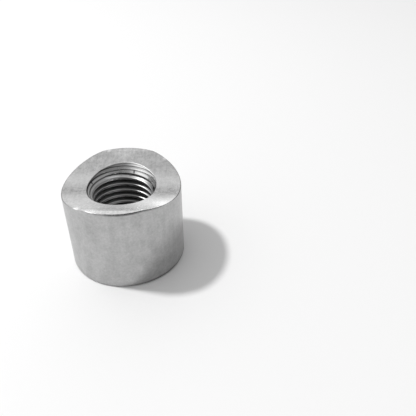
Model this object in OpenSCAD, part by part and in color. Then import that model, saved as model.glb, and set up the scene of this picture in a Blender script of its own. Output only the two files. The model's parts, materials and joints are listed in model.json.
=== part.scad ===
/* [Body] */
// Outside diameter of the round bar that the bung is turned from
bung_od = 20; // [17:0.5:30]
// Height from the flat end to the highest points of the saddle end
bung_len = 15.4; // [12:0.2:30]
// Chamfer round the outside edge of the flat end
base_chamfer = 0.25; // [0.1:0.05:0.6]

/* [Saddle] */
// Outside diameter of the tube that the saddle sits on
tube_od = 50.8; // [38:0.2:80]
// Depth of the saddle's valley below the bar's flat end, which is left as two lands
saddle_depth = 1.6; // [0.6:0.1:2.4]

/* [Thread] */
// Nominal diameter of the thread, measured over its roots in the bung
thread_d = 11.11; // [8:0.01:12]
// Thread pitch, the distance from one turn to the next
thread_pitch = 1.27; // [0.8:0.01:1.5]

/* [Mouths] */
// How much wider than the thread the countersink is at the height of the valley
mouth_over = 0.6; // [0.2:0.1:1.4]
// Full angle of the countersink in the saddle end
mouth_angle = 60; // [50:5:90]
// How much wider than the thread the lead-in chamfer is at the flat end
entry_over = 0.7; // [0.2:0.1:1.4]
// Full angle of the lead-in chamfer in the flat end
entry_angle = 90; // [60:5:120]

/* [Hidden] */
$fn = 160;

// How far a cutting shape runs past the face that it cuts
overrun = 1;

bung_r = bung_od / 2;
saddle_r = tube_od / 2;

// The hole before tapping is one pitch smaller than the thread
bore_r = (thread_d - thread_pitch) / 2;
mouth_r = (thread_d + mouth_over) / 2;
entry_r = (thread_d + entry_over) / 2;

// Height of the saddle's valley, the lowest line of the saddle face
valley_z = bung_len - saddle_depth;

// How far each cone spreads for each millimetre along the bore
mouth_slope = tan(mouth_angle / 2);
entry_slope = tan(entry_angle / 2);

// Distance from the mouth of each cone to where it meets the bore
mouth_depth = (mouth_r - bore_r) / mouth_slope;
entry_depth = (entry_r - bore_r) / entry_slope;

// Turned blank, with the chamfer round its flat end
module blank() {
    rotate_extrude()
        polygon([
            [0, 0],
            [bung_r - base_chamfer, 0],
            [bung_r, base_chamfer],
            [bung_r, bung_len],
            [0, bung_len],
        ]);
}

// Cutter of the tube's own radius, lying along X with its lowest line in the valley
module saddle_cutter() {
    translate([0, 0, valley_z + saddle_r])
        rotate([0, 90, 0])
            cylinder(h = bung_od + 2 * overrun, r = saddle_r, center = true);
}

// Plain hole that the thread is tapped into
module tapping_hole() {
    translate([0, 0, -overrun])
        cylinder(h = bung_len + 2 * overrun, r = bore_r);
}

// Countersink in the saddle end, long enough to come out above the lands
module mouth_cutter() {
    rise = mouth_depth + saddle_depth + overrun;
    translate([0, 0, valley_z - mouth_depth])
        cylinder(h = rise, r1 = bore_r, r2 = bore_r + rise * mouth_slope);
}

// Lead-in chamfer in the flat end, where a bolt or plug screws in
module entry_cutter() {
    translate([0, 0, -overrun])
        cylinder(
            h = entry_depth + overrun,
            r1 = entry_r + overrun * entry_slope,
            r2 = bore_r
        );
}

// The finished bung, standing on its flat end
module bung() {
    color("silver")
        difference() {
            blank();
            saddle_cutter();
            tapping_hole();
            mouth_cutter();
            entry_cutter();
        }
}

bung();
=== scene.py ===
"""The looks of a turned steel weld bung with a saddle end, and the small studio that it stands in."""

import json
import math
from collections import namedtuple

import bmesh
import bpy
import numpy as np
from mathutils import Matrix, Vector


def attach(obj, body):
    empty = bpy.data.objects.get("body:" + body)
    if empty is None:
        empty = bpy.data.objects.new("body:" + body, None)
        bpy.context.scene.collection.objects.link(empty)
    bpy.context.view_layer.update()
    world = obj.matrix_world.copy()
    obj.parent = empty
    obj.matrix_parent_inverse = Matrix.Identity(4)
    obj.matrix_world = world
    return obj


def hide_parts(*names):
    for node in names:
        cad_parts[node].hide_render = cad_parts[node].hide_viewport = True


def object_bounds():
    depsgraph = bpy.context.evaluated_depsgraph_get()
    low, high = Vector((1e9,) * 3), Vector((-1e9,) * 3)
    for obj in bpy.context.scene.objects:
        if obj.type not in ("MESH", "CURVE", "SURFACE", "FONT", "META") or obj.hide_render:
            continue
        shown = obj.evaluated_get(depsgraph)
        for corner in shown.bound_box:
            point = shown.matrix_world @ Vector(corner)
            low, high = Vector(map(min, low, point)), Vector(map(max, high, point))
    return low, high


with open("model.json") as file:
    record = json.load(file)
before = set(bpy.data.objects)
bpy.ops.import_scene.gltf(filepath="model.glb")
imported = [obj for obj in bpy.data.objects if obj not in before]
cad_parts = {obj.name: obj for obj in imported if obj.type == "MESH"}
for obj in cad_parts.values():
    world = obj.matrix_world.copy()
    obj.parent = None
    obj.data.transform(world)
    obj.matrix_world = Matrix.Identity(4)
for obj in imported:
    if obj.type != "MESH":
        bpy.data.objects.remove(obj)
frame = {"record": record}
CAD_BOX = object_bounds()
MOUNTS = {mount["name"]: mount for mount in frame["record"]["mounts"]}

bl_info = {
    "name": "Weld bung",
    "version": (1, 0, 0),
    "blender": (4, 5, 0),
    "location": "3D View > Sidebar > Bung",
    "description": "Makes a turned weld bung with a tapped bore and a saddle end, and its studio",
    "category": "Add Mesh",
}

MM = 0.001
OUTSIDE_RADIUS = (CAD_BOX[1].x - CAD_BOX[0].x) / 2
HEIGHT = CAD_BOX[1].z
VALLEY_HEIGHT = MOUNTS["saddle"]["pos_m"][2]
BORE_RADIUS = MOUNTS["thread"]["dims"]["r_mm"] * MM

FACES = ("bar_skin", "broken_edge", "faced_end", "coped_face", "bored_steel")

# Distance between the close rows that hold a corner crisp, and the distance under which points are welded
EDGE = 0.03 * MM
WELD = 0.003 * MM

# Rows of points on the plain stretches and on the broken edges
WALL_ROWS = 7
SADDLE_ROWS = 8
CORNER_ROWS = 4
RIM_ROWS = 6
MOUTH_EDGE_ROWS = 5

# Where rows lie: on a land and across a tool ring as shares of the width, beside the crease in steps of
# EDGE, beside the middle of a thread crest in millimetres, and on the lead-in as a share of its height
LAND_ROWS = (0.04, 0.5)
RING_ROWS = (-0.5, -0.32, -0.16, 0.0, 0.16, 0.32, 0.5)
CREASE_ROWS = (1, 0.3, -0.3, -1)
CREST_ROWS = (0.0, 0.10, 0.16, 0.19, 0.22, 0.29, 0.38, 0.47, 0.53, 0.575)
ENTRY_ROW = 0.6

# The thread's rows begin this many turns down, so that they still reach its lower end where they climb
LOWEST_TURN = -2

# How often the search for the mouth's rim goes back and forth, and what keeps a divisor above zero
MOUTH_RIM_PASSES = 30
TINY = 1e-6

# What the noises of a finish do. Brightness is an even part and a share of each noise, roughness swings
# by a share of each, and relief is the height of the bumps
Grain = namedtuple("Grain", "brightness roughness relief")
SKIN_GRAIN = Grain(brightness=(0.33, 0.34, 0.4, 0.58), roughness=(0.12, 0.1), relief=0.016 * MM)
EDGE_GRAIN = Grain(brightness=(0.4, 1.2), roughness=(0.3,), relief=0.02 * MM)
FACED_GRAIN = Grain(brightness=(0.95, 0.1), roughness=(0.1,), relief=0.01 * MM)
COPED_GRAIN = Grain(brightness=(0.44, 0.3, 0.58, 0.24), roughness=(0.1, 0.25, 0.12), relief=0.009 * MM)
BORED_GRAIN = Grain(brightness=(0.46, 0.3, 0.4), roughness=(0.1, 0.25), relief=0.01 * MM)

# How much the finer noise counts in the bumps of the bar's skin and of the saddle
SKIN_BUMP_SHARE = 0.9
COPED_BUMP_SHARE = 0.8

# The share of a length that counts for the noise, along the bar's streaks and along the cutter's lines
STREAK_STRETCH = 0.15
CUTTER_STRETCH = 0.12

# Marks on the steel, most of them painted light and shade. Lengths are in millimetres. A side is an
# azimuth from the X axis and a spread, in degrees. A span is where a change starts and where it ends, and a
# line is its middle and its width. A shade is the share of the light that is missing, a gain is light
# added, and a dulling is roughness added
FRONT = (-78, 22)
FRONT_LEFT = (-124, 18)
FRONT_RIGHT = (-34, 12)
FOOT_SIDE = (-48, 34)

# On the bar: painted shade under the front rim, by its depth under the rim, and a painted contact shade
# along the foot, by its height above the flat end
UNDER_RIM_SHADE_SPAN = (0.22, 0.42)
UNDER_RIM_PAINTED_SHADE = 0.6
FOOT_SPAN = (0.15, 0.7)
FOOT_PAINTED_SHADE = 0.75

# On the broken rim: painted shade at the front, painted highlights to its left and right with painted
# glints, and more roughness at the front left
RIM_FRONT_PAINTED_SHADE = 0.5
LEFT_PAINTED_HIGHLIGHT_GAIN = 0.72
RIGHT_PAINTED_HIGHLIGHT_GAIN = 1.1
RIM_PAINTED_GLINT_GAIN = 2.7
FRONT_LEFT_DULLING = 0.25

# On the saddle end, areas of painted highlight and shade and small painted glints, by their x, their y
# and their reach along both, with the gain last in a table
PAINTED_LIGHT_AREAS = (
    (7.6, -2.6, 1.7, 1.7, -0.14),
    (-4.4, -9.3, 2.2, 2.2, 0.25),
    (7.3, -6.0, 1.1, 1.1, 0.3),
    (0.0, 7.0, 3.8, 3.8, 0.08),
)
GLINTS = (
    (-5.9, -7.95, 0.5, 0.5, 1.0),
    (-3.4, -8.9, 0.6, 0.6, 0.45),
    (6.75, 7.25, 0.35, 0.35, 0.6),
    (-3.35, 9.0, 0.3, 0.3, 0.35),
)
# A painted shade in the middle of the saddle's front, by its x, its y and its reach along both
SADDLE_SHADE_AREA = (0.0, -6.5, 3.8, 1.5)
SADDLE_PAINTED_SHADE = 0.26

# On the lands: a gain by height above them, and on the front one's left part a painted sheen by distance
# in front of the axis, which ends over a span of x. A painted crease shade lies just behind that part, by
# its y
LAND_SPAN = (-0.06, -0.01)
LAND_GAIN = 0.14
FRONT_LAND_SPAN = (7.9, 8.35)
FRONT_LAND_END = (2, 6)
FRONT_LAND_GAIN = 0.1
CREASE_LINE = (-7.85, 0.25)
CREASE_SHADE = 0.12

# In the countersink. A nick is an azimuth in degrees, its lowest point, its highest one and its width. A
# patch of painted sheen is its x, its y and its reach along both. The lines of the painted shade under the
# lip and of the worn mouth go by depth under the mouth, that of the painted shade at the groove's end by
# height
NICKS = ((75.7, 12.95, 13.45, 0.15), (164, 13.2, 13.7, 0.14))
NICK_SHADE = 0.9
SHEEN_PATCH = (2.1, 5.05, 1.3, 1.3)
SHEEN_PATCH_GAIN = 0.18
LIP_LINE = (0.13, 0.1)
LIP_SHADE = 0.5
WORN_MOUTH_LINE = (0, 0.07)
WORN_MOUTH_DULLING = 0.45
GROOVE_END_SIDE = (113, 10)
GROOVE_END_LINE = (13.07, 0.1)
GROOVE_END_SHADE = 0.6

# By height above the countersink's foot: the upper part of the side with painted sheen, the lower part of
# the other side, which also has painted sheen, and painted shade low on the sheen side
UPPER_SPAN = (0.3, 0.6)
LOWER_SHEEN_RISE = (0, 0.15)
LOWER_SHEEN_FALL = (1.1, 1.4)
PAINTED_SHEEN_GAIN = 0.5
LOWER_SHADE = 0.4

# Painted shade in the rings, under the lip and at the groove's end: an even part and a share of the
# mottle, and what it loses towards the side with painted sheen. Its strength in the rings is an even part
# and a share that only the upper part has
PAINTED_SHADE_SHARES = (0.75, 0.3)
SHEEN_SIDE_SHADE_LOSS = 0.5
RING_SHADES = (0.45, 0.55)

# The tapped part, by depth below the valley, and its grooves, by depth under the plain hole's wall. A
# groove's painted shade is an even part and a share that only the tapped part has, and its root gets more.
# The flat at the bottom of a groove goes by radius, counted from the thread's root
TAPPED_SPAN = (1.35, 1.7)
TAPPED_GAIN = 0.15
GROOVE_SPAN = (0.04, 0.16)
GROOVE_SHADES = (0.05, 0.55)
ROOT_SPAN = (0.16, 0.3)
ROOT_FLAT_SPAN = (-0.1, 0)
ROOT_SHADE = 0.85
OIL_SPAN = (0.01, 0.06)
OIL_DULLING = 0.3

# By the cosine from the side that the tools leaned to, which is 1 there and -1 on the far side: the side
# with painted sheen, the side where painted shade is weaker, and a matt far side. The bore is a little
# rougher away from the upper part of the sheen side
SHEEN_SIDE_SPAN = (-0.45, 0.5)
SHEEN_SIDE_LOSS_SPAN = (0, 0.85)
MATT_SPAN = (0.5, 0.95)
MATT_DULLING = 0.35
BORE_DULLING = (0.15, -0.24)

# The room: radius and soft edge of its bright half and of its two panels, and where the ceiling begins,
# all in degrees
BRIGHT_HALF = (90, 28)
PANEL_DISC = (5, 9)
FILL_DISC = (12, 11)
CEILING_SPAN = (40, 54)

# How far the key lamp and the floor's edges are from the bung, in metres, and the width of the camera's
# sensor, in millimetres
LAMP_DISTANCE = 0.6
FLOOR_REACH = 2.0
SENSOR_WIDTH = 36


def length(name, description, default):
    """A length property, in metres."""
    return bpy.props.FloatProperty(
        name=name, description=description, default=default, min=0, unit="LENGTH", precision=6
    )


def angle(name, description, degrees):
    """An angle property, whose default is given in degrees."""
    return bpy.props.FloatProperty(
        name=name, description=description, default=math.radians(degrees), subtype="ANGLE"
    )


def share(name, description, default):
    """A plain number from 0 to 1."""
    return bpy.props.FloatProperty(name=name, description=description, default=default, min=0, max=1)


def light(name, description, default):
    """A brightness, where 1 is white."""
    return bpy.props.FloatProperty(name=name, description=description, default=default, min=0)


def colour(name, description, grey):
    """A colour property, whose default is a neutral grey."""
    return bpy.props.FloatVectorProperty(
        name=name, description=description, default=(grey, grey, grey), subtype="COLOR", size=3, min=0, max=1
    )


class BungSizes(bpy.types.PropertyGroup):
    """Sizes of the bung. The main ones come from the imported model."""

    outside_radius: length("Outside radius", "Radius of the round bar", OUTSIDE_RADIUS)
    height: length("Height", "From the flat end up to the two lands", HEIGHT)
    valley_height: length("Valley height", "From the flat end up to the saddle's valley", VALLEY_HEIGHT)
    saddle_radius: length("Saddle radius", "Radius of the tube that the saddle fits", 25.4 * MM)
    bore_radius: length("Bore radius", "Radius over the thread's crests", BORE_RADIUS)
    base_chamfer: length("Base chamfer", "Chamfer round the flat end", 0.25 * MM)
    rim_round: length("Rim round", "How far the broken edge of the saddle's rim reaches", 0.13 * MM)
    mouth_radius: length("Mouth radius", "Countersink radius at the height of the valley", 5.855 * MM)
    mouth_angle: angle("Mouth angle", "Full angle of the countersink", 60)
    mouth_round: length("Mouth round", "How far the broken edge of the mouth reaches", 0.04 * MM)
    entry_radius: length("Entry radius", "Lead-in radius at the flat end", 5.905 * MM)
    entry_angle: angle("Entry angle", "Full angle of the lead-in chamfer", 90)
    pitch: length("Thread pitch", "Rise of the thread in one turn", 1.27 * MM)
    root_radius: length("Thread root radius", "Radius over the bottoms of the grooves", 5.555 * MM)
    root_flat: length("Thread root flat", "Width of the flat at the bottom of a groove", 0.16 * MM)
    flank_angle: angle("Thread angle", "Full angle between the two flanks of a groove", 60)
    crest_start: length("Crest start", "Height of a crest's middle at angle zero", 0.32 * MM)
    crest_blend: length("Crest blend", "How far a crest's corners are rounded", 0.05 * MM)
    run_out_start: length("Run-out start", "Height of a groove where its depth starts to fade", 12.9 * MM)
    run_out_length: length("Run-out length", "Rise over which the groove fades away", 0.15 * MM)
    bore_lean: length(
        "Bore lean", "Dip of the rings and the thread on the side that the tools leaned to", 0.15 * MM
    )
    lean_azimuth: angle("Lean azimuth", "Side that the tools leaned to, from the X axis", 12.35)
    ring_start: length("Ring start", "Height of the lowest tool ring in the countersink", 12.32 * MM)
    ring_step: length("Ring step", "Height from one tool ring to the next", 0.565 * MM)
    ring_count: bpy.props.IntProperty(
        name="Rings", description="Tool rings in the countersink", default=4, min=1
    )
    ring_width: length("Ring width", "Width of a tool ring", 0.22 * MM)
    ring_depth: length("Ring depth", "Depth of a tool ring", 0.05 * MM)
    columns: bpy.props.IntProperty(
        name="Columns", description="Points round the bung", default=300, min=24, max=600
    )


class BungFinish(bpy.types.PropertyGroup):
    """Colours and roughness of the bung's faces."""

    skin_colour: colour("Skin colour", "Steel of the bar's drawn outside", 0.45)
    skin_roughness: share("Skin roughness", "Roughness of the drawn outside", 0.36)
    edge_colour: colour("Edge colour", "Steel of the saddle's broken rim", 0.28)
    edge_roughness: share("Edge roughness", "Roughness of the broken rim", 0.25)
    faced_colour: colour("Faced colour", "Steel of the flat end", 0.52)
    faced_roughness: share("Faced roughness", "Roughness of the flat end", 0.3)
    coped_colour: colour("Coped colour", "Steel of the saddle and its lands", 0.63)
    coped_roughness: share("Coped roughness", "Roughness of the saddle", 0.2)
    bored_colour: colour("Bored colour", "Steel of the bore", 0.66)
    bored_roughness: share("Bored roughness", "Roughness of the bore", 0.25)


class BungStudio(bpy.types.PropertyGroup):
    """The camera, lamps and floor."""

    camera_distance: length("Camera distance", "From the middle of the flat end", 97.18 * MM)
    camera_azimuth: angle("Camera azimuth", "Round the bung, from looking straight across the valley", 12.35)
    camera_elevation: angle("Camera elevation", "Above the floor", 40.79)
    camera_pan: angle("Camera pan", "Turn away from the bung, to the side", 9.05)
    camera_tilt: angle("Camera tilt", "Turn away from the bung, up or down", -3.15)
    camera_roll: angle("Camera roll", "Turn about the line of sight", 7.97)
    camera_lens: bpy.props.FloatProperty(
        name="Camera lens", description="Focal length in millimetres on a 36 mm sensor", default=45.0, min=1
    )
    key_azimuth: angle("Key azimuth", "Where the key lamp stands, from the X axis", 170.4)
    key_elevation: angle("Key elevation", "Height of the key lamp above the floor", 60.7)
    key_spread: angle("Key spread", "Angle that the key lamp fills as seen from the bung", 5.5)
    key_light: light("Key light", "Light that the key lamp throws on a surface facing it", 0.62)
    bright_azimuth: angle("Bright side", "Middle of the bright half of the room, from the X axis", 152)
    bright_wall: share("Bright wall", "Brightness of the room's walls on the bright side", 0.95)
    dark_wall: share("Dark wall", "Brightness of the room's walls on the dark side", 0.3)
    ceiling: share("Ceiling", "Brightness of the room's ceiling", 0.62)
    seam_elevation: angle("Seam", "Height of the dim band where the walls' backdrop ends", 28.5)
    seam_width: angle("Seam width", "How far the dim band reaches on each side of its middle", 5)
    seam_depth: share("Seam depth", "Share of the light that is missing in the dim band", 0.5)
    panel_azimuth: angle("Panel azimuth", "Where the small soft panel stands, from the X axis", 88)
    panel_elevation: angle("Panel elevation", "Height of the small soft panel", 12)
    panel_light: light("Panel light", "Brightness that the small soft panel adds", 0.55)
    fill_azimuth: angle("Fill azimuth", "Where the broad faint fill panel stands, from the X axis", 22)
    fill_elevation: angle("Fill elevation", "Height of the broad faint fill panel", 19)
    fill_light: light("Fill light", "Brightness that the broad fill panel adds", 0.14)
    floor_colour: colour("Floor colour", "Colour of the floor", 0.88)
    floor_roughness: share("Floor roughness", "Roughness of the floor", 0.9)


class Socket:
    """One output of a shader tree. Python's operators on it add Math nodes."""

    def __init__(self, shader, link):
        self.shader = shader
        self.link = link

    def maths(self, operation, *values):
        """A Math node on the given values, or on this one alone."""
        sockets = dict(enumerate(values or (self,)))
        return self.shader.node("ShaderNodeMath", {"operation": operation}, sockets)

    def __add__(self, other):
        return self.maths("ADD", self, other)

    def __radd__(self, other):
        return self.maths("ADD", other, self)

    def __sub__(self, other):
        return self.maths("SUBTRACT", self, other)

    def __rsub__(self, other):
        return self.maths("SUBTRACT", other, self)

    def __mul__(self, other):
        return self.maths("MULTIPLY", self, other)

    def __rmul__(self, other):
        return self.maths("MULTIPLY", other, self)

    def __truediv__(self, other):
        return self.maths("DIVIDE", self, other)

    def __pow__(self, other):
        return self.maths("POWER", self, other)

    def bell(self):
        """A bell curve of this value, 1 at zero: e to the power of minus its square."""
        return (-1 * self * self).maths("EXPONENT")

    def line(self, middle, width):
        """A bell curve round the middle, which is down to 1 / e at the width to each side."""
        return ((self - middle) / width).bell()

    def clamp(self):
        """This value kept between 0 and 1."""
        return self.shader.node("ShaderNodeClamp", {}, {"Value": self})


class Shader:
    """A material's or the world's node tree. node() adds every node."""

    def __init__(self, owner):
        owner.use_nodes = True
        self.tree = owner.node_tree
        self.tree.nodes.clear()

    def node(self, kind, settings, sockets, output=0):
        """Adds a node: its settings first, then the values or links of its sockets, and returns an output."""
        made = self.tree.nodes.new(kind)
        for name, value in settings.items():
            setattr(made, name, value)
        for name, value in sockets.items():
            if isinstance(value, Socket):
                self.tree.links.new(value.link, made.inputs[name])
            else:
                made.inputs[name].default_value = value
        return Socket(self, made.outputs[output]) if made.outputs else None

    def place(self):
        """The point on the object, in metres. In the world, it is the direction."""
        return self.node("ShaderNodeTexCoord", {}, {}, "Object")

    def split(self, vector):
        """A vector's three numbers."""
        first = self.node("ShaderNodeSeparateXYZ", {}, {"Vector": vector})
        outputs = first.link.node.outputs
        return [Socket(self, outputs[name]) for name in ("X", "Y", "Z")]

    def split_mm(self, vector):
        """A point's three numbers, in millimetres."""
        return [number / MM for number in self.split(vector)]

    def join(self, x, y, z):
        """Three numbers as a vector."""
        return self.node("ShaderNodeCombineXYZ", {}, {"X": x, "Y": y, "Z": z})

    def ramp(self, value, start, end):
        """0 up to start and 1 from end, with an S-shaped rise between them."""
        return self.node(
            "ShaderNodeMapRange",
            {"interpolation_type": "SMOOTHSTEP"},
            {"Value": value, "From Min": start, "From Max": end},
        )

    def fall(self, value, start, end):
        """1 up to start and 0 from end, with an S-shaped fall between them."""
        return 1 - self.ramp(value, start, end)

    def disc(self, towards, centre, radius, soft):
        """1 inside a disc of the sky, whose radius and soft edge are in degrees, and 0 outside it."""
        product = {"operation": "DOT_PRODUCT"}
        near = self.node("ShaderNodeVectorMath", product, {0: towards, 1: centre}, "Value")
        outer, inner = (math.cos(math.radians(radius + side * soft)) for side in (1, -1))
        return self.ramp(near, outer, inner)

    def noise(self, vector, scale, detail, roughness=0.5):
        """Cloudy noise, about 0.5 on average, with scale waves to a metre."""
        return self.node(
            "ShaderNodeTexNoise",
            {"noise_dimensions": "3D"},
            {"Vector": vector, "Scale": scale, "Detail": detail, "Roughness": roughness},
        )

    def tint(self, base, factor):
        """A colour made darker or lighter by a factor that varies."""
        return self.node("ShaderNodeVectorMath", {"operation": "SCALE"}, {0: tuple(base), "Scale": factor})

    def bump(self, height, distance):
        """The normal of a surface that rises and falls by height, in metres for each unit."""
        return self.node("ShaderNodeBump", {}, {"Height": height, "Distance": distance}, "Normal")


def steel(name, finish_colour, roughness, pattern):
    """A bare steel material. pattern gives the brightness, the roughness and the normal that vary over it."""
    material = bpy.data.materials.new(name)
    shader = Shader(material)
    brightness, change, normal = pattern(shader)
    surface = shader.node(
        "ShaderNodeBsdfPrincipled",
        {},
        {
            "Base Color": shader.tint(finish_colour, brightness),
            "Metallic": 1.0,
            "Roughness": (change + roughness).clamp(),
            "Normal": normal,
        },
    )
    shader.node("ShaderNodeOutputMaterial", {}, {"Surface": surface})
    return material


def layers(shares, *values):
    """An even part, which comes first among the shares, plus a share of each value."""
    return shares[0] + sum(part * value for part, value in zip(shares[1:], values))


def swings(shares, *noises):
    """The sum of a share of each noise, counted from the noise's middle."""
    return sum(part * (noise - 0.5) for part, noise in zip(shares, noises))


def darkened(brightness, *shades):
    """A brightness under several shades, each a share of the light that is missing."""
    for shade in shades:
        brightness = brightness * (1 - shade)
    return brightness


def cosine_from(shader, place, azimuth):
    """Cosine of the angle round the axis between a point and an azimuth in radians."""
    x, y = shader.split(place)[:2]
    return (x * math.cos(azimuth) + y * math.sin(azimuth)) / (x * x + y * y) ** 0.5


def towards_side(shader, place, azimuth, spread):
    """A bell round the axis: 1 on the side at azimuth, and falling over the angle spread, in degrees.

    For a small angle a, 2 (1 - cos a) is a squared, so this is e to the power of minus (a / spread) squared.
    """
    near = cosine_from(shader, place, math.radians(azimuth))
    return ((near - 1) * (2 / math.radians(spread) ** 2)).maths("EXPONENT")


def spot(shader, place, centre_x, centre_y, reach_x, reach_y):
    """A bell round an upright line through the bung, with lengths in millimetres: 1 on the line."""
    x, y = shader.split_mm(place)[:2]
    return x.line(centre_x, reach_x) * y.line(centre_y, reach_y)


def spots(shader, place, table):
    """The sum of the spots in a table, each with its gain."""
    return sum(gain * spot(shader, place, *area) for *area, gain in table)


def skin_pattern(shader):
    """Drawn bar: soft streaks along its length and a faint mottle.

    There is painted shade under the front rim, and painted contact shade along the foot at the front right.
    """
    s = bpy.context.scene.bung_sizes
    place = shader.place()
    x, y, z = shader.split(place)
    streaks = shader.noise(shader.join(x, y, z * STREAK_STRETCH), scale=900, detail=3)
    cloud = shader.noise(place, scale=500, detail=3)
    grain = shader.noise(place, scale=2600, detail=3, roughness=0.7)
    arc = s.valley_height + s.saddle_radius - (s.saddle_radius**2 - y * y) ** 0.5
    under_rim = (arc.maths("MINIMUM", arc, s.height) - z) / MM
    # Painted shade under the front rim, and painted contact shade along the foot
    front_rim_painted_shade = UNDER_RIM_PAINTED_SHADE * towards_side(shader, place, *FRONT) * shader.fall(under_rim, *UNDER_RIM_SHADE_SPAN)
    foot = FOOT_PAINTED_SHADE * towards_side(shader, place, *FOOT_SIDE) * shader.fall(z / MM, *FOOT_SPAN)
    brightness = darkened(layers(SKIN_GRAIN.brightness, streaks, cloud, grain), front_rim_painted_shade, foot)
    change = swings(SKIN_GRAIN.roughness, streaks, cloud)
    return brightness, change, shader.bump(streaks + SKIN_BUMP_SHARE * grain, SKIN_GRAIN.relief)


def edge_pattern(shader):
    """A broken edge: unevenly dulled, painted shade at the front, painted highlights and glints beside it."""
    place = shader.place()
    mottle = shader.noise(place, scale=900, detail=4, roughness=0.7)
    left = towards_side(shader, place, *FRONT_LEFT)
    right = towards_side(shader, place, *FRONT_RIGHT)
    # Painted shade at the front of the rim, and painted highlights and glints on both sides of it
    front_rim_painted_shade = RIM_FRONT_PAINTED_SHADE * towards_side(shader, place, *FRONT)
    painted_sheen = LEFT_PAINTED_HIGHLIGHT_GAIN * left + RIGHT_PAINTED_HIGHLIGHT_GAIN * right
    painted_sheen = painted_sheen + RIM_PAINTED_GLINT_GAIN * spots(shader, place, GLINTS)
    brightness = darkened(layers(EDGE_GRAIN.brightness, mottle) * (1 + painted_sheen), front_rim_painted_shade)
    change = swings(EDGE_GRAIN.roughness, mottle) + FRONT_LEFT_DULLING * left
    return brightness, change, shader.bump(mottle, EDGE_GRAIN.relief)


def faced_pattern(shader):
    """A faced end: rings round the bore, left by the turning tool."""
    x, y = shader.split(shader.place())[:2]
    radius = (x * x + y * y) ** 0.5
    rings = shader.noise(shader.join(radius, 0, 0), scale=9000, detail=2)
    brightness = layers(FACED_GRAIN.brightness, rings)
    return brightness, swings(FACED_GRAIN.roughness, rings), shader.bump(rings, FACED_GRAIN.relief)


def coped_pattern(shader):
    """A coped saddle: fine cutter lines across the valley, a mottle, and painted highlights, shade and
    glints.

    The lands are a little brighter. A painted sheen makes the front one seem to start early on its left,
    with a painted crease shade behind that.
    """
    place = shader.place()
    x, y, z = shader.split(place)
    lines = shader.noise(shader.join(x, y * CUTTER_STRETCH, 0), scale=3000, detail=3, roughness=0.7)
    mottle = shader.noise(place, scale=1500, detail=4, roughness=0.7)
    cloud = shader.noise(place, scale=420, detail=3)
    land = LAND_GAIN * shader.ramp((z - HEIGHT) / MM, *LAND_SPAN)
    left_part = shader.fall(x / MM, *FRONT_LAND_END)
    # Painted sheen and crease shade by the front land, painted shade in the front, painted highlights and
    # glints
    front_land = FRONT_LAND_GAIN * shader.ramp(-1 * y / MM, *FRONT_LAND_SPAN) * left_part
    crease = CREASE_SHADE * (y / MM).line(*CREASE_LINE) * left_part
    saddle_painted_shade = SADDLE_PAINTED_SHADE * spot(shader, place, *SADDLE_SHADE_AREA)
    shine = spots(shader, place, PAINTED_LIGHT_AREAS + GLINTS) + front_land
    even_light = layers(COPED_GRAIN.brightness, lines, mottle, cloud)
    brightness = darkened(even_light * (1 + land) * (1 + shine), saddle_painted_shade, crease)
    change = swings(COPED_GRAIN.roughness, lines, mottle, cloud)
    return brightness, change, shader.bump(lines + COPED_BUMP_SHARE * mottle, COPED_GRAIN.relief)


def nick(shader, place, azimuth, low, high, width):
    """1 on an upright scratch in the bore's wall, and 0 elsewhere. The azimuth is in degrees."""
    x, y, z = shader.split_mm(place)
    turn = math.radians(azimuth)
    across = y * math.cos(turn) - x * math.sin(turn)
    facing = shader.ramp(x * math.cos(turn) + y * math.sin(turn), 0, BORE_RADIUS / MM)
    below_top = shader.fall(z, high - width, high + width)
    return across.line(0, width) * facing * shader.ramp(z, low - width, low + width) * below_top


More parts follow.
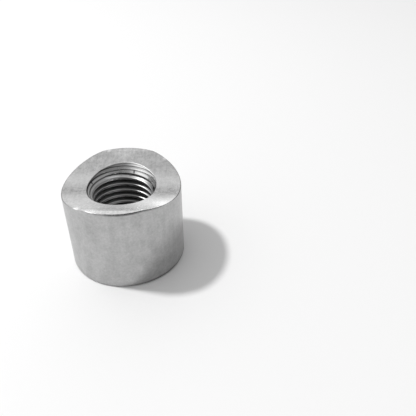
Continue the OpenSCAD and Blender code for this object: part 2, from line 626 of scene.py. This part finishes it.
def bored_pattern(shader):
    """A countersunk and tapped bore.

    The countersink has painted sheen on the side that the tools leaned to and on the lower part of the
    other, painted shade in its tool rings, under its lip and at the groove's end, and two small nicks. The
    crests have no painted shade; the grooves carry it, most of all in their roots, and are rougher where
    they reach into the countersink. How deep a point lies under the plain hole's wall tells grooves from
    crests.
    """
    s = bpy.context.scene.bung_sizes
    place = shader.place()
    x, y, z = shader.split(place)
    radius = (x * x + y * y) ** 0.5
    mottle = shader.noise(place, scale=1300, detail=4, roughness=0.65)
    fine = shader.noise(shader.join(radius, 0, z), scale=7000, detail=2)

    # Where a point lies: how near the side that the tools leaned to, how deep under the plain hole's wall,
    # and how high over the countersink's foot
    lean = cosine_from(shader, place, s.lean_azimuth)
    slope = math.tan(s.mouth_angle / 2)
    cone = s.mouth_radius + slope * (z - s.valley_height)
    depth = (radius - cone.maths("MAXIMUM", cone, s.bore_radius)) / MM
    above_foot = (z - s.valley_height + (s.mouth_radius - s.bore_radius) / slope) / MM
    under_mouth = (s.valley_height + y * y / (2 * s.saddle_radius) - z) / MM
    tapped = shader.ramp((s.valley_height - z) / MM, *TAPPED_SPAN)
    upper = shader.ramp(above_foot, *UPPER_SPAN)

    # The countersink: painted sheen, then painted shade in its rings, under its lip and in the groove's end
    sheen_side = shader.ramp(lean, *SHEEN_SIDE_SPAN)
    polish_and_sheen = sheen_side * upper
    painted_sheen = shader.ramp(above_foot, *LOWER_SHEEN_RISE) * shader.fall(above_foot, *LOWER_SHEEN_FALL) * (1 - sheen_side)
    bright = PAINTED_SHEEN_GAIN * polish_and_sheen.maths("MAXIMUM", polish_and_sheen, painted_sheen) * (1 - tapped)
    painted_shade = layers(PAINTED_SHADE_SHARES, mottle) * (1 - SHEEN_SIDE_SHADE_LOSS * shader.ramp(lean, *SHEEN_SIDE_LOSS_SPAN))
    level = z + s.bore_lean * lean - s.ring_start
    rings = sum(level.line(s.ring_step * n, 0.5 * s.ring_width) for n in range(s.ring_count))
    ring_painted_shade = painted_shade * rings * layers(RING_SHADES, upper)
    lip_painted_shade = LIP_SHADE * painted_shade * under_mouth.line(*LIP_LINE)
    groove_end = towards_side(shader, place, *GROOVE_END_SIDE) * (z / MM).line(*GROOVE_END_LINE)
    groove_end_painted_shade = GROOVE_END_SHADE * groove_end
    nicks = NICK_SHADE * sum(nick(shader, place, *each) for each in NICKS)
    # Painted shade low on the side with painted sheen
    lower_painted_shade = LOWER_SHADE * sheen_side * (1 - upper)

    # The thread: painted shade in the grooves, and more in the roots
    groove = shader.ramp(depth, *GROOVE_SPAN) * layers(GROOVE_SHADES, tapped)
    on_root = shader.ramp((radius - s.root_radius) / MM, *ROOT_FLAT_SPAN)
    root = ROOT_SHADE * shader.ramp(depth, *ROOT_SPAN) * on_root

    steel_light = layers(BORED_GRAIN.brightness, fine, mottle) + bright + TAPPED_GAIN * tapped
    # A patch of painted sheen
    steel_light = steel_light * (1 + SHEEN_PATCH_GAIN * spot(shader, place, *SHEEN_PATCH))
    brightness = darkened(steel_light, ring_painted_shade, lip_painted_shade, groove_end_painted_shade, nicks, lower_painted_shade, groove, root)

    oil = OIL_DULLING * shader.ramp(depth, *OIL_SPAN) * upper
    matt = MATT_DULLING * shader.ramp(-1 * lean, *MATT_SPAN) * (1 - tapped)
    worn = WORN_MOUTH_DULLING * under_mouth.line(*WORN_MOUTH_LINE)
    change = swings(BORED_GRAIN.roughness, fine, mottle) + layers(BORE_DULLING, polish_and_sheen) + oil + matt + worn
    return brightness, change, shader.bump(fine + mottle, BORED_GRAIN.relief)


def smooth_max(a, b, blend):
    """The larger of two heights, with their corner rounded over the width blend."""
    near = np.maximum(blend - np.abs(a - b), 0) / blend
    return np.maximum(a, b) + near * near * blend / 4


def saddle_height(s, y):
    """Height of the saddle end: an arc about the tube's axis, cut off level at the two lands."""
    arc = s.valley_height + s.saddle_radius - np.sqrt(s.saddle_radius**2 - y**2)
    return np.minimum(arc, s.height)


def land_edge(s):
    """Distance from the valley to the line where the saddle meets a land."""
    rise = s.saddle_radius + s.valley_height - s.height
    return math.sqrt(s.saddle_radius**2 - rise**2)


def cone_radius(s, z):
    """Radius of the plain hole: the bore, widened by the countersink above and the lead-in below."""
    mouth = s.mouth_radius + math.tan(s.mouth_angle / 2) * (z - s.valley_height)
    entry = s.entry_radius - math.tan(s.entry_angle / 2) * z
    return np.maximum(np.maximum(mouth, entry), s.bore_radius)


def dip(s, turn):
    """How far the rings and the thread dip at a turn angle, because the tools leaned: one cosine a turn."""
    return s.bore_lean * np.cos(turn - s.lean_azimuth)


def tool_rings(s, z, turn):
    """Depth of the tool rings in the countersink: a row of raised cosines, one each ring step."""
    steps = np.clip((z + dip(s, turn) - s.ring_start) / s.ring_step, -0.5, s.ring_count - 0.5)
    off_middle = (steps - np.round(steps)) * s.ring_step
    inside = np.clip(np.abs(off_middle) / (s.ring_width / 2), 0, 1)
    return s.ring_depth * (1 + np.cos(math.pi * inside)) / 2


def mouth_radius_at(s, z, turn):
    """Radius of the countersink's wall with its tool rings."""
    return cone_radius(s, z) + tool_rings(s, z, turn)


def climb(s, turn):
    """How far the thread has climbed at a turn angle."""
    return s.pitch * turn / (2 * math.pi) - dip(s, turn)


def thread_radius(s, z, turn):
    """Radius of the tapped hole at a height and a turn angle.

    The distance from the nearest root's middle gives the V groove: its flank falls away from the root
    flat. Near its upper end the groove fades out. The wall is the larger of the groove and the plain
    hole, with a rounded corner.
    """
    from_crest = z - s.crest_start - climb(s, turn)
    from_root = from_crest - s.pitch * (np.floor(from_crest / s.pitch) + 0.5)
    past_start = np.clip((z - from_root - s.run_out_start) / s.run_out_length, 0, 1)
    faded = past_start * (s.root_radius - s.bore_radius)
    flank = s.root_radius - (np.abs(from_root) - s.root_flat / 2) / math.tan(s.flank_angle / 2)
    groove = -smooth_max(-flank, np.full_like(z, -s.root_radius), s.crest_blend) - faded
    return smooth_max(groove, cone_radius(s, z), s.crest_blend)


def points(radius, turn, z):
    """Points at a radius, a turn angle and a height."""
    radius, turn, z = np.broadcast_arrays(radius, turn, z)
    return np.stack([radius * np.cos(turn), radius * np.sin(turn), z], axis=-1)


def rounded(start, corner, end, rows):
    """Rows on a quadratic arc from start to end that touches both lines through the corner."""
    t = np.linspace(0, 1, rows)[:, None, None]
    return (1 - t) ** 2 * start + 2 * t * (1 - t) * corner + t**2 * end


def flat_end_rows(s, turn):
    """The flat end, from the lead-in's mouth out to the chamfer."""
    inner = s.entry_radius + EDGE
    outer = s.outside_radius - s.base_chamfer - 2 * EDGE
    radii = np.array([inner, inner + EDGE, 0.5 * (s.entry_radius + outer), outer])
    return points(radii[:, None], turn, 0.0)


def base_edge_rows(s, turn):
    """The chamfer round the flat end, with both of its corners slightly rounded."""
    inner = s.outside_radius - s.base_chamfer
    outer = s.outside_radius
    up = s.base_chamfer
    slant = EDGE * math.sqrt(0.5)
    low = rounded(
        points(inner - EDGE, turn, 0.0),
        points(inner, turn, 0.0),
        points(inner + slant, turn, slant),
        CORNER_ROWS,
    )
    high = rounded(
        points(outer - slant, turn, up - slant),
        points(outer, turn, up),
        points(outer, turn, up + EDGE),
        CORNER_ROWS,
    )
    return np.concatenate([low, high])


def wall_rows(s, turn):
    """The bar's outside, straight up from the chamfer to just under the saddle's rim."""
    low = s.base_chamfer + 2 * EDGE
    high = saddle_height(s, s.outside_radius * np.sin(turn)) - s.rim_round - EDGE
    t = np.linspace(0, 1, WALL_ROWS)[:, None]
    return points(s.outside_radius, turn, low + (high - low) * t)


def rim_rows(s, turn):
    """The broken edge between the outside and the saddle end."""
    outer = s.outside_radius
    inner = s.outside_radius - s.rim_round
    top = saddle_height(s, outer * np.sin(turn))
    return rounded(
        points(outer, turn, top - s.rim_round),
        points(outer, turn, top),
        points(inner, turn, saddle_height(s, inner * np.sin(turn))),
        RIM_ROWS,
    )


def mouth_rim(s, turn):
    """Radius at which the countersink comes out through the saddle, found by going back and forth."""
    radius = np.full_like(turn, s.mouth_radius)
    for _ in range(MOUTH_RIM_PASSES):
        radius = cone_radius(s, saddle_height(s, radius * np.sin(turn)))
    return radius


def top_rows(s, turn):
    """The lands and the saddle, from the rim in to the mouth.

    A row follows the line where the saddle meets a land, with one close on each side of it. Where the
    rim lies inside that line, the rows of the land shrink onto the rim and are welded away.
    """
    outer = s.outside_radius - s.rim_round
    inner = mouth_rim(s, turn) + s.mouth_round + EDGE
    edge = land_edge(s) / np.maximum(np.abs(np.sin(turn)), TINY)
    land = [outer + (edge + EDGE - outer) * t for t in LAND_ROWS]
    crease = [edge + EDGE * step for step in CREASE_ROWS]
    start = np.minimum(edge - 2 * EDGE, outer - EDGE)
    saddle = [start + (inner - start) * t for t in np.linspace(0, 1, SADDLE_ROWS)]
    radii = np.minimum(np.stack(land + crease + saddle), outer)
    return points(radii, turn, saddle_height(s, radii * np.sin(turn)))


def mouth_rows(s, turn):
    """The broken edge of the mouth, then the countersink with its tool rings, down to the thread."""
    rim = mouth_rim(s, turn)
    top = saddle_height(s, rim * np.sin(turn))
    outer = rim + s.mouth_round
    ends = top - s.mouth_round
    edge = rounded(
        points(outer, turn, saddle_height(s, outer * np.sin(turn))),
        points(rim, turn, top),
        points(mouth_radius_at(s, ends, turn), turn, ends),
        MOUTH_EDGE_ROWS,
    )
    rings = s.ring_start + s.ring_step * np.arange(s.ring_count)
    across = np.array(RING_ROWS) * s.ring_width
    level = np.sort((rings[:, None] + across).ravel())[::-1, None]
    heights = np.clip(level - dip(s, turn), thread_span(s)[1] + EDGE, ends)
    return np.concatenate([edge, points(mouth_radius_at(s, heights, turn), turn, heights)])


def thread_span(s):
    """Lowest and highest point of the thread, where its roots run out into the two cones."""
    low = (s.entry_radius - s.root_radius) / math.tan(s.entry_angle / 2) - s.crest_blend
    high = s.valley_height - (s.mouth_radius - s.root_radius) / math.tan(s.mouth_angle / 2) + s.crest_blend
    return low, high


def thread_rows(s, turn):
    """The tapped hole, from the countersink down to the lead-in.

    The rows climb with the thread, so that each keeps its place on the profile, and one full turn
    brings a row to where its neighbour one pitch higher began. Rows past an end shrink onto it.
    """
    low, high = thread_span(s)
    side = np.array(CREST_ROWS) * MM
    profile = np.concatenate([-side[:0:-1], side, [s.pitch / 2]])
    turns = np.arange(LOWEST_TURN, math.ceil(high / s.pitch) + 1)
    start = (turns[:, None] * s.pitch + s.crest_start + profile).ravel()[::-1]
    heights = np.clip(start[:, None] + climb(s, turn), low, high)
    return points(thread_radius(s, heights, turn), turn, heights)


def entry_rows(s, turn):
    """The lead-in chamfer below the thread, and its corner with the flat end."""
    slant = EDGE * math.sqrt(0.5)
    heights = np.array([ENTRY_ROW * thread_span(s)[0], slant])[:, None]
    corner = rounded(
        points(s.entry_radius - slant, turn, slant),
        points(s.entry_radius, turn, 0.0),
        points(s.entry_radius + EDGE, turn, 0.0),
        CORNER_ROWS,
    )
    return np.concatenate([points(cone_radius(s, heights), turn, heights), corner])


def bung_mesh(s):
    """One closed skin: a loop of rows that runs over the flat end, up the outside, in over the saddle
    and down the bore, with each row carried once round the axis."""
    turn = np.linspace(0, 2 * math.pi, s.columns + 1)
    parts = [
        (flat_end_rows(s, turn), "faced_end"),
        (base_edge_rows(s, turn), "bar_skin"),
        (wall_rows(s, turn), "bar_skin"),
        (rim_rows(s, turn), "broken_edge"),
        (top_rows(s, turn), "coped_face"),
        (mouth_rows(s, turn), "bored_steel"),
        (thread_rows(s, turn), "bored_steel"),
        (entry_rows(s, turn), "bored_steel"),
    ]
    grid = np.concatenate([rows for rows, _ in parts])
    slots = np.concatenate([np.full(len(rows), FACES.index(face)) for rows, face in parts])
    rows, columns = grid.shape[:2]
    low = (np.arange(rows) * columns)[:, None] + np.arange(columns - 1)
    high = np.roll(low, -1, axis=0)
    quads = np.stack([low, low + 1, high + 1, high], axis=-1).reshape(-1, 4)
    return grid.reshape(-1, 3), quads, np.repeat(slots, columns - 1)


def make_object(name, vertices, faces):
    """A mesh object from arrays of vertices and faces."""
    mesh = bpy.data.meshes.new(name)
    mesh.from_pydata(vertices.tolist(), [], faces.tolist())
    made = bpy.data.objects.new(name, mesh)
    bpy.context.scene.collection.objects.link(made)
    return made


def weld(mesh):
    """Joins points that coincide, drops the faces that shrink away, and says if the skin is closed."""
    work = bmesh.new()
    work.from_mesh(mesh)
    bmesh.ops.remove_doubles(work, verts=work.verts, dist=WELD)
    closed = all(edge.is_manifold for edge in work.edges)
    outward = work.calc_volume(signed=True) > 0
    work.to_mesh(mesh)
    work.free()
    return closed and outward


class BUNG_OT_body(bpy.types.Operator):
    """Make the turned body with its saddle end and tapped bore"""

    bl_idname = "bung.body"
    bl_label = "Bung body"

    def execute(self, context):
        sizes = context.scene.bung_sizes
        finish = context.scene.bung_finish
        vertices, faces, slots = bung_mesh(sizes)
        body = make_object("bung_body", vertices, faces)
        body.data.polygons.foreach_set("material_index", slots.astype(np.int32))
        body.data.polygons.foreach_set("use_smooth", np.ones(len(slots), bool))
        if not weld(body.data):
            raise RuntimeError("the skin of the bung isn't closed, or it faces inwards")
        looks = {
            "bar_skin": (finish.skin_colour, finish.skin_roughness, skin_pattern),
            "broken_edge": (finish.edge_colour, finish.edge_roughness, edge_pattern),
            "faced_end": (finish.faced_colour, finish.faced_roughness, faced_pattern),
            "coped_face": (finish.coped_colour, finish.coped_roughness, coped_pattern),
            "bored_steel": (finish.bored_colour, finish.bored_roughness, bored_pattern),
        }
        for face in FACES:
            body.data.materials.append(steel(face, *looks[face]))
        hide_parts("bung")
        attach(body, "root")
        return {"FINISHED"}


def floor_material(studio):
    """A pale matt floor that keeps shadows."""
    material = bpy.data.materials.new("floor")
    shader = Shader(material)
    surface = shader.node(
        "ShaderNodeBsdfPrincipled",
        {},
        {
            "Base Color": (*studio.floor_colour, 1),
            "Roughness": studio.floor_roughness,
            "Specular IOR Level": 0.0,
        },
    )
    shader.node("ShaderNodeOutputMaterial", {}, {"Surface": surface})
    return material


def direction(azimuth, elevation):
    """Unit vector at an angle from the X axis and a height above the floor."""
    level = math.cos(elevation)
    return Vector((math.cos(azimuth) * level, math.sin(azimuth) * level, math.sin(elevation)))


def light_world(studio):
    """A plain room round the bung, the same for the camera and for the metal.

    Its walls go softly from a bright half to a dark half, with a dim band where the backdrop ends. A
    small soft panel and a broad faint one add light, and the ceiling is an even grey.
    """
    world = bpy.data.worlds.new("surroundings")
    bpy.context.scene.world = world
    shader = Shader(world)
    towards = shader.place()
    height = shader.split(towards)[2].maths("ARCSINE")
    bright = shader.disc(towards, direction(studio.bright_azimuth, 0), *BRIGHT_HALF)
    walls = studio.dark_wall + (studio.bright_wall - studio.dark_wall) * bright
    seam = studio.seam_depth * height.line(studio.seam_elevation, studio.seam_width)
    up = shader.ramp(height, *(math.radians(degrees) for degrees in CEILING_SPAN))
    panel = shader.disc(towards, direction(studio.panel_azimuth, studio.panel_elevation), *PANEL_DISC)
    fill = shader.disc(towards, direction(studio.fill_azimuth, studio.fill_elevation), *FILL_DISC)
    room = darkened(walls, seam, up) + studio.ceiling * up
    room = room + studio.panel_light * panel + studio.fill_light * fill
    background = shader.node("ShaderNodeBackground", {}, {"Color": (1, 1, 1, 1), "Strength": room})
    shader.node("ShaderNodeOutputWorld", {}, {"Surface": background})


def add_key_lamp(studio):
    """A round lamp far from the bung, sized by the angle that it fills.

    A small disc of light makes a white surface that faces it as bright as its power, divided by pi
    squared and by the distance squared. So the power is the light times those two.
    """
    lamp = bpy.data.lights.new("key_lamp", "AREA")
    lamp.shape = "DISK"
    lamp.size = 2 * LAMP_DISTANCE * math.tan(studio.key_spread / 2)
    lamp.energy = studio.key_light * math.pi**2 * LAMP_DISTANCE**2
    towards = direction(studio.key_azimuth, studio.key_elevation)
    made = bpy.data.objects.new("key_lamp", lamp)
    made.location = towards * LAMP_DISTANCE
    made.rotation_mode = "QUATERNION"
    made.rotation_quaternion = towards.to_track_quat("Z", "Y")
    bpy.context.scene.collection.objects.link(made)


def add_camera(studio):
    """A camera on an orbit round the bung, then panned, tilted and rolled off it."""
    back = direction(studio.camera_azimuth - math.pi / 2, studio.camera_elevation)
    right = Vector((0, 0, 1)).cross(back).normalized()
    aim = Matrix((right, back.cross(right), back)).transposed()
    turn = (
        Matrix.Rotation(-studio.camera_pan, 3, "Y")
        @ Matrix.Rotation(-studio.camera_tilt, 3, "X")
        @ Matrix.Rotation(-studio.camera_roll, 3, "Z")
    )
    data = bpy.data.cameras.new("camera")
    data.sensor_width = SENSOR_WIDTH
    data.lens = studio.camera_lens
    data.clip_start = 0.001
    data.clip_end = 10
    camera = bpy.data.objects.new("camera", data)
    camera.matrix_world = Matrix.Translation(back * studio.camera_distance) @ (aim @ turn).to_4x4()
    bpy.context.scene.collection.objects.link(camera)
    bpy.context.scene.camera = camera


class BUNG_OT_studio(bpy.types.Operator):
    """Make the floor, lamps, surroundings and camera"""

    bl_idname = "bung.studio"
    bl_label = "Studio"

    def execute(self, context):
        studio = context.scene.bung_studio
        corners = FLOOR_REACH * np.array([(-1, -1, 0), (1, -1, 0), (1, 1, 0), (-1, 1, 0)])
        floor = make_object("floor", corners, np.array([[0, 1, 2, 3]]))
        floor.data.materials.append(floor_material(studio))
        light_world(studio)
        add_key_lamp(studio)
        add_camera(studio)
        context.scene.view_settings.view_transform = "Standard"
        return {"FINISHED"}


class BUNG_PT_panel(bpy.types.Panel):
    """Lists the bung's sizes, finish and studio"""

    bl_label = "Weld bung"
    bl_idname = "BUNG_PT_panel"
    bl_space_type = "VIEW_3D"
    bl_region_type = "UI"
    bl_category = "Bung"

    def draw(self, context):
        for group in (context.scene.bung_sizes, context.scene.bung_finish, context.scene.bung_studio):
            box = self.layout.box()
            for name in group.bl_rna.properties.keys():
                if name not in ("rna_type", "name"):
                    box.prop(group, name)
        self.layout.operator(BUNG_OT_body.bl_idname)
        self.layout.operator(BUNG_OT_studio.bl_idname)


CLASSES = (BungSizes, BungFinish, BungStudio, BUNG_OT_body, BUNG_OT_studio, BUNG_PT_panel)


def register():
    for each in CLASSES:
        bpy.utils.register_class(each)
    bpy.types.Scene.bung_sizes = bpy.props.PointerProperty(type=BungSizes)
    bpy.types.Scene.bung_finish = bpy.props.PointerProperty(type=BungFinish)
    bpy.types.Scene.bung_studio = bpy.props.PointerProperty(type=BungStudio)


def unregister():
    del bpy.types.Scene.bung_studio
    del bpy.types.Scene.bung_finish
    del bpy.types.Scene.bung_sizes
    for each in reversed(CLASSES):
        bpy.utils.unregister_class(each)


def main():
    register()
    bpy.ops.bung.studio()
    bpy.ops.bung.body()


if __name__ == "__main__":
    main()
